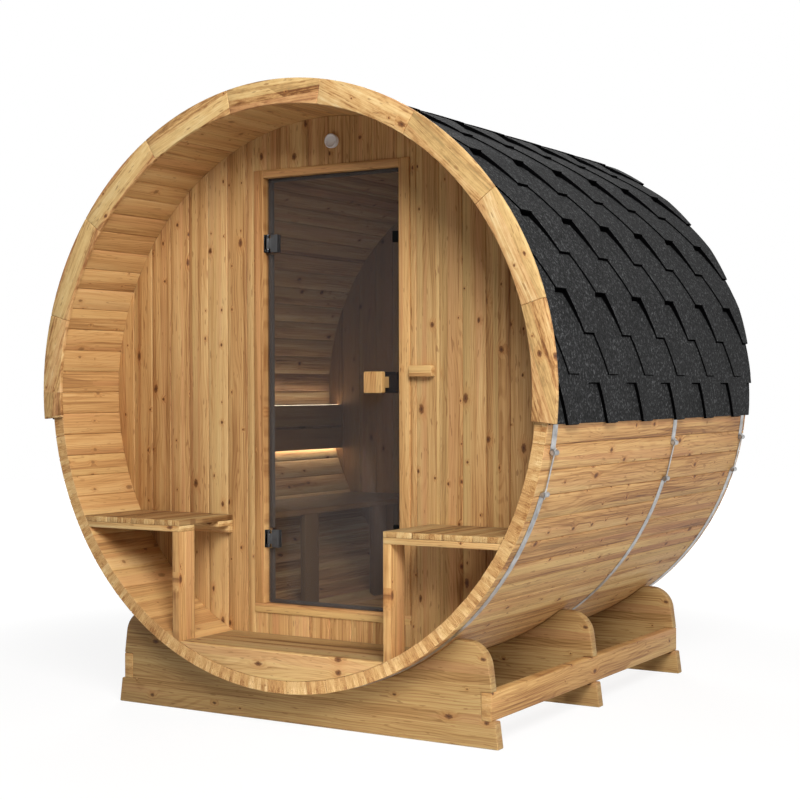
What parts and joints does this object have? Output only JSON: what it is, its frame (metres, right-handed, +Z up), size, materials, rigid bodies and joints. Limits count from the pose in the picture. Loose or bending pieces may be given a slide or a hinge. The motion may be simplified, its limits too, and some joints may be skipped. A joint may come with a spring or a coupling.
{
  "type": "barrel sauna",
  "caption": "Round timber sauna cabin of staves on saddles, with a porch with seats, a hinged smoked glass door and a shingled upper half held by steel bands",
  "frame": {"origin": "middle of the footprint, on the ground under the saddles", "axes": "+Z up; +Y from the porch towards the rear along the barrel; +X to the right seen from the porch"},
  "size_m": [2.0678, 1.8156, 2.1538],
  "materials": {
    "stave_wood": "satin planed softwood with knots",
    "saddle_wood": "planed softwood with knots",
    "wall_wood": "satin planed softwood boards",
    "frame_wood": "smooth planed softwood",
    "fascia_wood": "planed softwood with rounded edges",
    "porch_wood": "planed softwood",
    "cabin_wood": "planed softwood",
    "smoked_glass": "smooth tinted",
    "bracket_steel": "polished",
    "black_metal": "satin black",
    "band_steel": "bright satin",
    "vent_plastic": "satin grey",
    "shingle": "granular mineral surface",
    "light_strip": "warm lit diffuser"
  },
  "bodies": {
    "sauna": {"staves_01": "stave_wood", "staves_02": "stave_wood", "staves_03": "stave_wood", "staves_04": "stave_wood", "staves_05": "stave_wood", "staves_06": "stave_wood", "saddle_front": "saddle_wood", "saddle_middle": "saddle_wood", "saddle_back": "saddle_wood", "rail_left": "saddle_wood", "rail_right": "saddle_wood", "front_wall_left": "wall_wood", "front_wall_right": "wall_wood", "front_wall_over_door": "wall_wood", "front_wall_under_door": "wall_wood", "back_wall_left": "wall_wood", "back_wall_right": "wall_wood", "door_frame": "frame_wood", "door_stops": "frame_wood", "wall_block": "frame_wood", "door_hinge_brackets": "bracket_steel", "vent": "vent_plastic", "front_fascia": "fascia_wood", "rear_fascia": "fascia_wood", "roof_shingles_left": "shingle", "roof_shingles_right": "shingle", "band_front": "band_steel", "band_middle": "band_steel", "band_back": "band_steel", "band_tensioners": "band_steel", "porch_deck": "porch_wood", "porch_skirt": "porch_wood", "porch_bench_left": "porch_wood", "porch_bench_right": "porch_wood", "cabin_floor": "cabin_wood", "cabin_bench": "cabin_wood", "cabin_backrest": "cabin_wood", "cabin_lights": "light_strip"},
    "door": {"door_glass": "smoked_glass", "door_hinge_plates": "black_metal", "door_clips": "black_metal", "door_handle": "frame_wood"}
  },
  "joints": [
    {"name": "door_hinge", "type": "hinge", "parent": "sauna", "child": "door", "pos_m": [-0.259, -0.5805, 1.12], "axis": [0, 0, -1], "range_deg": [0, 100]}
  ]
}
